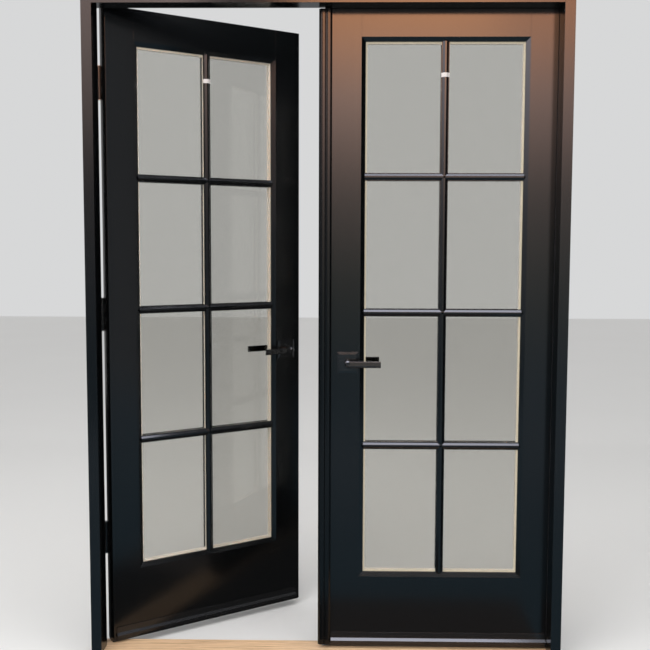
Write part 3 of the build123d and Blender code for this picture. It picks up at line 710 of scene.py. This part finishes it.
def lattice_recipe(material: bpy.types.Material) -> Recipe:
    """Glazing bars of one face: a rank of uprights crossed by ranks of level bars.

    The lattice is centred on the origin in X and Z; the bars stand on y = 0 and rise towards -Y.

    Args:
        material: the bars' material.

    Returns:
        The recipe.
    """
    recipe = Recipe("glazing_bar_lattice", {
        "Columns": WHOLE_NUMBER, "Rows": WHOLE_NUMBER, "Width": NUMBER, "Height": NUMBER, "Foot": NUMBER,
        "Flat": NUMBER, "Edge": NUMBER, "Rise": NUMBER, "Ease": NUMBER, "Housing": NUMBER,
    })
    given = recipe.given

    def bar(length: bpy.types.NodeSocket) -> bpy.types.NodeSocket:
        """One bar along Z: a bevelled top over a low straight foot.

        Args:
            length: how long the bar is.

        Returns:
            The bar.
        """
        slope = recipe.maths("SUBTRACT", given["Rise"], given["Edge"])
        top = recipe.add("GeometryNodeCurvePrimitiveQuadrilateral", {"mode": "TRAPEZOID"},
                         Bottom_Width=given["Foot"], Top_Width=given["Flat"], Height=slope)
        recipe.feed(top, "Offset", 0.0)
        eased = recipe.add("GeometryNodeFilletCurve", {"mode": "POLY"}, Curve=top.outputs[0], Count=3,
                           Radius=given["Ease"])
        low = recipe.add("GeometryNodeCurvePrimitiveQuadrilateral", {"mode": "RECTANGLE"},
                         Width=given["Foot"], Height=given["Edge"])
        lifted = recipe.add("GeometryNodeTransform", Geometry=eased.outputs[0],
                            Translation=recipe.vector(y=recipe.maths("DIVIDE", given["Rise"], 2.0)))
        both = []
        for outline in (lifted.outputs[0], low.outputs[0]):
            face = recipe.add("GeometryNodeFillCurve", {"mode": "NGONS"}, Curve=outline).outputs[0]
            tall = recipe.add("GeometryNodeExtrudeMesh", {"mode": "FACES"}, Mesh=face,
                              Offset=recipe.vector(z=length), Offset_Scale=1.0)
            tall.inputs["Individual"].default_value = False
            base = recipe.add("GeometryNodeFlipFaces", Mesh=face).outputs[0]
            solid = recipe.add("GeometryNodeMergeByDistance", Geometry=recipe.join(tall.outputs[0], base),
                               Distance=WELD_DISTANCE).outputs[0]
            up = recipe.vector(y=recipe.maths("DIVIDE", given["Edge"], 2.0))
            both.append(recipe.add("GeometryNodeTransform", Geometry=solid, Translation=up).outputs[0])
        down = recipe.vector(z=recipe.maths("MULTIPLY", length, -0.5))
        centred = recipe.add("GeometryNodeTransform", Geometry=recipe.join(*both), Translation=down,
                             Scale=(1.0, -1.0, 1.0)).outputs[0]
        return recipe.add("GeometryNodeFlipFaces", Mesh=centred).outputs[0]

    def rank(shape: bpy.types.NodeSocket, count: bpy.types.NodeSocket, room: bpy.types.NodeSocket,
             level: bool) -> bpy.types.NodeSocket:
        """The bars that split a room into equal clear openings.

        Args:
            shape: one bar along Z.
            count: the number of openings.
            room: the whole clear width or height.
            level: whether the bars lie level.

        Returns:
            The placed bars.
        """
        bars = recipe.maths("SUBTRACT", count, 1.0)
        clear = recipe.maths("SUBTRACT", room, recipe.maths("MULTIPLY", bars, given["Foot"]))
        pitch = recipe.maths("ADD", recipe.maths("DIVIDE", clear, count), given["Foot"])
        steps = recipe.maths("SUBTRACT", bars, 1.0)
        first = recipe.maths("MULTIPLY", recipe.maths("MULTIPLY", steps, pitch), -0.5)
        start = recipe.vector(z=first) if level else recipe.vector(x=first)
        step = recipe.vector(z=pitch) if level else recipe.vector(x=pitch)
        line = recipe.add("GeometryNodeMeshLine", {"mode": "OFFSET"}, Count=bars, Start_Location=start,
                          Offset=step)
        turn = (0.0, math.pi / 2, 0.0) if level else (0.0, 0.0, 0.0)
        return recipe.add("GeometryNodeInstanceOnPoints", Points=line.outputs[0], Instance=shape,
                          Rotation=turn).outputs[0]

    tall = recipe.maths("ADD", given["Height"], given["Housing"])
    wide = recipe.maths("ADD", given["Width"], given["Housing"])
    uprights = rank(bar(tall), given["Columns"], given["Width"], False)
    levels = rank(bar(wide), given["Rows"], given["Height"], True)
    recipe.finish(recipe.join(uprights, levels), material)
    return recipe


def screw_recipe(name: str, material: bpy.types.Material) -> Recipe:
    """Countersunk screw heads with a cross slot, in a zigzag column along Z, facing +X.

    Args:
        name: the tree's name.
        material: the screws' material.

    Returns:
        The recipe.
    """
    recipe = Recipe(name, {
        "Count": WHOLE_NUMBER, "Pitch": NUMBER, "Stagger": NUMBER, "Radius": NUMBER, "Proud": NUMBER,
        "Sunk": NUMBER,
    })
    given = recipe.given
    depth = recipe.maths("ADD", given["Proud"], given["Sunk"])
    disc = recipe.add("GeometryNodeMeshCylinder", Vertices=SCREW_SIDES, Radius=given["Radius"], Depth=depth)
    cuts = []
    for wide, narrow in ((SLOT_LENGTH, SLOT_WIDTH), (SLOT_WIDTH, SLOT_LENGTH)):
        size = recipe.vector(recipe.maths("MULTIPLY", given["Radius"], wide),
                             recipe.maths("MULTIPLY", given["Radius"], narrow), given["Proud"])
        cuts.append(recipe.add("GeometryNodeMeshCube", Size=size).outputs[0])
    slot = recipe.add("GeometryNodeTransform", Geometry=recipe.join(*cuts),
                      Translation=recipe.vector(z=recipe.maths("MULTIPLY", depth, 0.5)))
    # The two arms of the slot cross each other, and without this setting the cut leaves nothing.
    cut = recipe.add("GeometryNodeMeshBoolean", {"operation": "DIFFERENCE", "solver": "EXACT"},
                     Self_Intersection=True)
    recipe.feed(cut, 0, disc.outputs[0])
    recipe.feed(cut, 1, slot.outputs[0])
    middle = recipe.maths("MULTIPLY", recipe.maths("SUBTRACT", given["Proud"], given["Sunk"]), 0.5)
    head = recipe.add("GeometryNodeTransform", Geometry=cut.outputs[0], Rotation=(0.0, math.pi / 2, 0.0),
                      Translation=recipe.vector(x=middle))
    last = recipe.maths("SUBTRACT", given["Count"], 1.0)
    low = recipe.maths("MULTIPLY", recipe.maths("MULTIPLY", last, given["Pitch"]), -0.5)
    line = recipe.add("GeometryNodeMeshLine", {"mode": "OFFSET"}, Count=given["Count"],
                      Start_Location=recipe.vector(z=low), Offset=recipe.vector(z=given["Pitch"]))
    index = recipe.add("GeometryNodeInputIndex").outputs[0]
    odd = recipe.maths("SUBTRACT", recipe.maths("MULTIPLY", recipe.maths("MODULO", index, 2.0), 2.0), 1.0)
    swayed = recipe.add("GeometryNodeSetPosition", Geometry=line.outputs[0],
                        Offset=recipe.vector(y=recipe.maths("MULTIPLY", odd, given["Stagger"])))
    turned = recipe.add("FunctionNodeRandomValue", {"data_type": "FLOAT"}, Max=math.pi, Seed=SCREW_TURN_SEED)
    placed = recipe.add("GeometryNodeInstanceOnPoints", Points=swayed.outputs[0], Instance=head.outputs[0],
                        Rotation=recipe.vector(x=turned.outputs["Value"]))
    recipe.finish(placed.outputs[0], material)
    return recipe


@dataclass
class Workshop:
    """The recipes that several sub-assemblies use."""

    lattice: Recipe = field(init=False)
    black_screws: Recipe = field(init=False)
    steel_screws: Recipe = field(init=False)

    def __post_init__(self) -> None:
        """Builds each tree once."""
        self.lattice = lattice_recipe(PAINT.material())
        self.black_screws = screw_recipe("black_screw_column", IRON.material())
        self.steel_screws = screw_recipe("steel_screw_column", STEEL.material())


def dress(node: str, finish: Finish, nodes: dict[str, bpy.types.Object]) -> None:
    """Gives a CAD node its finish.

    Args:
        node: the node's name.
        finish: the finish that it takes.
        nodes: the CAD nodes by name.
    """
    slots = nodes[node].data.materials
    slots.clear()
    slots.append(finish.material())
    log.info("dressed %s as %s", node, finish.name)


@dataclass
class Leaf:
    """One glazed leaf. Sizes are in millimetres, drawn for the right leaf when shut."""

    side: Side
    workshop: Workshop
    meeting_edge: float = 10.0
    width: float = 705.0
    thickness: float = LEAF_THICKNESS
    lite_x: Span = (105.0, 620.0)
    lite_z: Span = (249.0, 1939.0)
    sticking: float = 13.0
    columns: int = 2
    rows: int = 4
    foot: float = 24.0
    flat: float = 5.5
    bar_edge: float = 3.8
    ease: float = 1.2
    housing: float = 3.0
    outer_glass: float = 14.0
    inner_glass: float = 33.0
    setback: float = 3.0
    pivot: Span = (716.5, 51.0)
    opened: float = 34.3
    hinge_levels: tuple[float, ...] = HINGE_LEVELS
    plate_inset: float = HINGE_PLATE_INSET
    lever_level: float = LEVER_LEVEL

    @property
    def body(self) -> str:
        """The CAD body that the leaf's pieces ride on."""
        return f"{self.side.value}_leaf"

    def placement(self) -> Matrix:
        """Turns a piece that is already mirrored for its side to the leaf's rest position.

        Returns:
            The turn about the hinge pins, which is none for the right leaf.
        """
        if self.side is Side.RIGHT:
            return Matrix.Identity(4)
        pin = Vector((-self.pivot[0] * MM, self.pivot[1] * MM, 0.0))
        turn = Matrix.Rotation(math.radians(self.opened), 4, "Z")
        return Matrix.Translation(pin) @ turn @ Matrix.Translation(-pin)

    def at(self, x: float, y: float, z: float, turn: float = 0.0) -> Matrix:
        """Where a piece goes, from its millimetre place on the right leaf when shut.

        Args:
            x: distance from the middle of the doorway.
            y: distance from the outer face, positive inwards.
            z: height.
            turn: the piece's own turn about Z in degrees, before it goes there.

        Returns:
            The placement in the shared frame.
        """
        spot = Matrix.Translation((self.side.sign * x * MM, y * MM, z * MM))
        own = turn if self.side is Side.RIGHT else 180.0 - turn
        return self.placement() @ spot @ Matrix.Rotation(math.radians(own), 4, "Z")

    def glazing_bars(self) -> None:
        """Replaces the plain bars of both faces with eased ones."""
        sizes = {
            "Columns": self.columns, "Rows": self.rows,
            "Width": (self.lite_x[1] - self.lite_x[0] - 2 * self.sticking) * MM,
            "Height": (self.lite_z[1] - self.lite_z[0] - 2 * self.sticking) * MM,
            "Foot": self.foot * MM, "Flat": self.flat * MM, "Edge": self.bar_edge * MM,
            "Ease": self.ease * MM, "Housing": self.housing * MM,
        }
        middle_x, middle_z = sum(self.lite_x) / 2, sum(self.lite_z) / 2
        faces = (
            ("outer", self.outer_glass, self.outer_glass - self.setback, 0.0),
            ("inner", self.inner_glass, self.thickness - self.setback - self.inner_glass, 180.0),
        )
        for face, foot_y, rise, turn in faces:
            spot = Matrix.Translation((self.side.sign * middle_x * MM, foot_y * MM, middle_z * MM))
            place = self.placement() @ spot @ Matrix.Rotation(math.radians(turn), 4, "Z")
            name = f"{self.side.value}_{face}_glazing_bars"
            bars = self.workshop.lattice.make(name, {**sizes, "Rise": rise * MM}, place)
            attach(bars, self.body)
            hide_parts(f"{self.side.value}_{face}_muntins")
            log.info("built %s with %d faces", name, len(bars.data.polygons))

    def screws(self) -> None:
        """Screws of the hinge plates and, on the active leaf, of the latch plate."""
        edge = self.meeting_edge + self.width
        for number, level in enumerate(self.hinge_levels, 1):
            name = f"{self.side.value}_leaf_hinge_screws_{number}"
            spot = self.at(edge, self.thickness - self.plate_inset, level)
            made = self.workshop.black_screws.make(name, HINGE_SCREWS, spot)
            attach(made, self.body)
            log.info("built %s", name)
        if self.side is Side.LEFT:
            spot = self.at(self.meeting_edge, self.thickness / 2, self.lever_level, 180.0)
            made = self.workshop.steel_screws.make("latch_plate_screws", PLATE_SCREWS, spot)
            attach(made, self.body)
            log.info("built latch_plate_screws")

    def build(self) -> None:
        """Makes the leaf's added pieces."""
        self.glazing_bars()
        self.screws()


@dataclass
class DoorFrame:
    """The rabbeted frame with its hinge screws."""

    workshop: Workshop
    rabbet_x: float = 718.0
    plate_y: float = LEAF_THICKNESS - HINGE_PLATE_INSET
    hinge_levels: tuple[float, ...] = HINGE_LEVELS

    def build(self) -> None:
        """Screws of the frame's hinge plates, on both sides."""
        for side in Side:
            turn = Matrix.Rotation(math.pi if side is Side.RIGHT else 0.0, 4, "Z")
            for number, level in enumerate(self.hinge_levels, 1):
                spot = Matrix.Translation((side.sign * self.rabbet_x * MM, self.plate_y * MM, level * MM))
                name = f"{side.value}_frame_hinge_screws_{number}"
                made = self.workshop.black_screws.make(name, HINGE_SCREWS, spot @ turn)
                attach(made, "frame")
                log.info("built %s", name)


@dataclass
class MeetingPost:
    """The covered post on the inactive leaf's edge, with its strike."""

    workshop: Workshop
    post_left: float = -7.0
    strike_y: float = LEAF_THICKNESS / 2
    lever_level: float = LEVER_LEVEL

    def build(self) -> None:
        """Screws of the strike plate."""
        spot = Matrix.Translation((self.post_left * MM, self.strike_y * MM, self.lever_level * MM))
        turn = Matrix.Rotation(math.pi, 4, "Z")
        made = self.workshop.steel_screws.make("strike_screws", PLATE_SCREWS, spot @ turn)
        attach(made, "right_leaf")
        log.info("built strike_screws")


# Where the cards stand, in metres: near and far in Y, left and right in X.
CARD_NEAR, CARD_FAR, CARD_LEFT, CARD_RIGHT, CARD_TOP = -3.6, 3.2, -3.4, 4.2, 5.0
FAR_LEFT = -7.0
SIDES_MEET = -0.3
SILL_FRONT, SILL_BACK = -0.45, -0.09
GROUND_LEVEL, STEP_LEVEL = 0.003, 0.004

DUSK = (0.16, 0.24, 0.30)
OVERHEAD = (0.5, 0.65, 0.7)


@dataclass(frozen=True)
class CardLight:
    """The light of a card: colours at even steps along an axis, between two places on it in metres."""

    colours: tuple[Colour, ...]
    reach: Span = FULL
    axis: str = "Z"


CARD_LIGHTS = {
    "warm": CardLight(((0.29, 0.42, 0.51), (0.58, 0.63, 0.57), (1.85, 1.5, 1.35), (6.9, 4.6, 3.8),
                       (15.0, 6.7, 3.1), OVERHEAD, OVERHEAD), (0.4, 4.3)),
    "dim": CardLight(((0.42, 0.54, 0.64), (0.72, 0.76, 0.72), (1.55, 1.3, 1.2), (5.4, 3.7, 3.2),
                      (11.0, 5.0, 2.7), OVERHEAD, OVERHEAD), (0.4, 4.3)),
    "haze": CardLight((DUSK, (0.6, 0.55, 0.55), (4.4, 3.3, 3.0)), (0.6, 3.0)),
    "mist": CardLight((DUSK, (0.9, 0.8, 0.8), (6.8, 5.2, 4.8)), (0.6, 3.0)),
    "glow": CardLight((DUSK, (0.8, 0.8, 0.85), (5.0, 4.6, 5.0)), (0.3, 3.0)),
    "dusk": CardLight((DUSK,)),
    "side": CardLight(((0.8, 0.8, 0.82), (0.01, 0.015, 0.015)), (CARD_NEAR, -2.4), "Y"),
    "ground": CardLight(((0.40, 0.51, 0.61), (0.22, 0.36, 0.46)), (-3.0, -0.6), "Y"),
    "step": CardLight(((0.25, 0.22, 0.21),)),
    "shade": CardLight(((0.08, 0.08, 0.08),)),
    "room": CardLight(((0.33, 0.34, 0.35),)),
    "sky": CardLight(((9.6, 9.8, 11.4),)),
}

# Name, ends in X and light of the cards in front of the doors.
FRONT_CARDS = (
    ("card_far_left", FAR_LEFT, CARD_LEFT, "dusk"),
    ("card_left", CARD_LEFT, -1.2, "haze"),
    ("card_near_left", -1.2, -0.9, "mist"),
    ("card_between", -0.9, -0.28, "dusk"),
    ("card_in_front", -0.28, 1.15, "warm"),
    ("card_near_right", 1.15, 1.9, "dim"),
    ("card_right", 1.9, CARD_RIGHT, "dusk"),
)
# Name, place in X, ends in Y and light of the cards at the sides.
SIDE_CARDS = (
    ("card_at_side", CARD_RIGHT, CARD_NEAR, SIDES_MEET, "side"),
    ("card_at_back", CARD_RIGHT, SIDES_MEET, CARD_FAR, "room"),
    ("card_at_left", CARD_LEFT, CARD_NEAR, SIDES_MEET, "glow"),
)
# Name, ends in X, ends in Y, height and light of the level cards.
LEVEL_CARDS = (
    ("card_below", FAR_LEFT, CARD_RIGHT, CARD_NEAR, SILL_BACK, GROUND_LEVEL, "ground"),
    ("card_inside", FAR_LEFT, CARD_RIGHT, SILL_BACK, CARD_FAR, GROUND_LEVEL, "shade"),
    ("card_step", 0.0, 0.7, SILL_FRONT, SILL_BACK, STEP_LEVEL, "step"),
    ("card_step_left", -0.7, 0.0, SILL_FRONT, SILL_BACK, STEP_LEVEL, "shade"),
    ("card_above", -1.3, 1.25, -1.6, 0.0, 3.2, "sky"),
    ("card_high_above", FAR_LEFT, CARD_RIGHT, CARD_NEAR, CARD_FAR, CARD_TOP, "room"),
)


@dataclass(frozen=True)
class Lamp:
    """A soft rectangular lamp that looks at a point, in metres and watts."""

    name: str
    place: Triple
    aim: Triple
    size: Span
    power: float


LAMPS = (
    Lamp("key", (-2.4, -3.2, 3.4), (0.0, 0.0, 1.0), (2.4, 2.4), 75.0),
    Lamp("front", (-0.6, -3.3, 1.7), (0.0, 0.0, 1.1), (1.4, 1.4), 25.0),
    Lamp("fill", (2.8, -2.6, 2.2), (0.0, 0.0, 1.0), (2.0, 2.0), 6.0),
    Lamp("top", (0.0, -0.8, 3.8), (0.0, 0.0, 0.8), (2.6, 1.6), 45.0),
)


@dataclass
class Studio:
    """Floor, reflected cards, soft lamps and the camera."""

    focal_pixels: float = 934.82
    centre_row: float = 321.716
    camera_mm: Triple = (42.81, -2916.11, 1302.88)
    yaw: float = 0.016286
    pitch: float = -0.081187
    roll: float = -0.003037
    sensor: float = 36.0
    clip: Span = (0.05, 60.0)
    floor_reach: float = 14.0
    surround: Colour = (0.80, 0.805, 0.81)
    surround_strength: float = 0.85

    def camera(self) -> None:
        """Sets the camera to the photograph's own view."""
        data = bpy.data.cameras.new("camera")
        data.sensor_width = self.sensor
        data.lens = self.focal_pixels / PICTURE_SIDE * self.sensor
        data.shift_y = (self.centre_row - PICTURE_SIDE / 2) / PICTURE_SIDE
        data.clip_start, data.clip_end = self.clip
        made = link_object("camera", data)
        aim = (Matrix.Rotation(self.yaw, 4, "Z") @ Matrix.Rotation(self.pitch, 4, "X")
               @ Matrix.Rotation(self.roll, 4, "Y") @ Matrix.Rotation(math.pi / 2, 4, "X"))
        made.matrix_world = Matrix.Translation(Vector(self.camera_mm) * MM) @ aim
        bpy.context.scene.camera = made

    def sheet(self, name: str, corners: Sequence[Sequence[float]], material: bpy.types.Material) -> None:
        """Adds a flat stage piece.

        Args:
            name: the piece's name.
            corners: its corners in order, in metres.
            material: its material.
        """
        mesh = bpy.data.meshes.new(name)
        mesh.from_pydata(corners, [], [tuple(range(len(corners)))])
        mesh.materials.append(material)
        link_object(name, mesh)

    def card_material(self, name: str, light: CardLight) -> bpy.types.Material:
        """Makes the material of cards that only soft reflections see.

        Args:
            name: the material's name.
            light: its light.

        Returns:
            The material.
        """
        made = bpy.data.materials.new(name)
        made.use_nodes = True
        nodes = Nodes(made.node_tree)
        made.node_tree.nodes.remove(made.node_tree.nodes["Principled BSDF"])
        split = nodes.add("SeparateXYZ", Vector=nodes.place((1.0, 1.0, 1.0)))
        share = nodes.ramp(split.outputs[light.axis], light.reach)
        steps = len(light.colours) - 1
        colour: object = light.colours[0]
        for number, further in enumerate(light.colours[1:]):
            part = nodes.ramp(share, (number / steps, (number + 1) / steps))
            colour = nodes.mix(part, colour, further)
        glow = nodes.add("Emission", Color=(*colour, 1.0) if isinstance(colour, tuple) else colour)
        path = nodes.add("LightPath")
        soft = nodes.maths("MULTIPLY", path.outputs["Is Glossy Ray"],
                           nodes.maths("SUBTRACT", 1.0, path.outputs["Is Singular Ray"]))
        seen = nodes.add("MixShader")
        nodes.feed(seen, 0, soft)
        nodes.feed(seen, 1, nodes.add("BsdfTransparent").outputs[0])
        nodes.feed(seen, 2, glow.outputs[0])
        nodes.feed(made.node_tree.nodes["Material Output"], "Surface", seen.outputs[0])
        made.cycles.emission_sampling = "NONE"
        return made

    def cards(self) -> None:
        """Sets up the cards that the black paint mirrors."""
        lit = {name: self.card_material(f"{name}_card", light) for name, light in CARD_LIGHTS.items()}
        for name, low_x, high_x, light in FRONT_CARDS:
            self.sheet(name, ((low_x, CARD_NEAR, 0.0), (high_x, CARD_NEAR, 0.0), (high_x, CARD_NEAR, CARD_TOP),
                              (low_x, CARD_NEAR, CARD_TOP)), lit[light])
        for name, x, low_y, high_y, light in SIDE_CARDS:
            self.sheet(name, ((x, low_y, 0.0), (x, high_y, 0.0), (x, high_y, CARD_TOP), (x, low_y, CARD_TOP)),
                       lit[light])
        self.sheet("card_behind", ((-3.0, CARD_FAR, 0.0), (3.0, CARD_FAR, 0.0), (3.0, CARD_FAR, 3.0),
                                   (-3.0, CARD_FAR, 3.0)), lit["room"])
        for name, low_x, high_x, low_y, high_y, level, light in LEVEL_CARDS:
            self.sheet(name, ((low_x, low_y, level), (high_x, low_y, level), (high_x, high_y, level),
                              (low_x, high_y, level)), lit[light])

    def lamp(self, lamp: Lamp) -> None:
        """Adds a lamp that is itself out of sight.

        Args:
            lamp: the lamp's values.
        """
        data = bpy.data.lights.new(lamp.name, "AREA")
        data.shape = "RECTANGLE"
        data.size, data.size_y = lamp.size
        data.energy = lamp.power
        made = link_object(lamp.name, data)
        made.location = lamp.place
        made.rotation_euler = (Vector(lamp.aim) - Vector(lamp.place)).to_track_quat("-Z", "Y").to_euler()
        made.visible_camera = False
        made.visible_glossy = False
        made.visible_transmission = False

    def world(self) -> None:
        """An even pale surround."""
        world = bpy.data.worlds.new("studio")
        bpy.context.scene.world = world
        world.use_nodes = True
        sky = world.node_tree.nodes["Background"]
        sky.inputs["Color"].default_value = (*self.surround, 1.0)
        sky.inputs["Strength"].default_value = self.surround_strength

    def build(self) -> None:
        """Sets up the whole studio."""
        bpy.context.scene.view_settings.view_transform = "Standard"
        self.world()
        reach = self.floor_reach
        self.sheet("floor", ((-reach, -reach, 0.0), (reach, -reach, 0.0), (reach, reach, 0.0),
                             (-reach, reach, 0.0)), FLOOR.material())
        self.cards()
        for lamp in LAMPS:
            self.lamp(lamp)
        self.camera()


def main() -> None:
    """Builds the studio, the two leaves, the meeting post and the frame, and dresses every node."""
    logging.basicConfig(level=logging.INFO, format="%(name)s: %(message)s")
    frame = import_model()
    Studio().build()
    for subpart in frame["record"]["subparts"]:
        node = subpart["node"]
        finish = SWEEP if node.endswith("sweep_carrier") else FINISHES[subpart["material_slot"]]
        dress(node, finish, frame["nodes"])
    workshop = Workshop()
    Leaf(Side.RIGHT, workshop).build()
    Leaf(Side.LEFT, workshop).build()
    MeetingPost(workshop).build()
    DoorFrame(workshop).build()


if __name__ == "__main__":
    main()
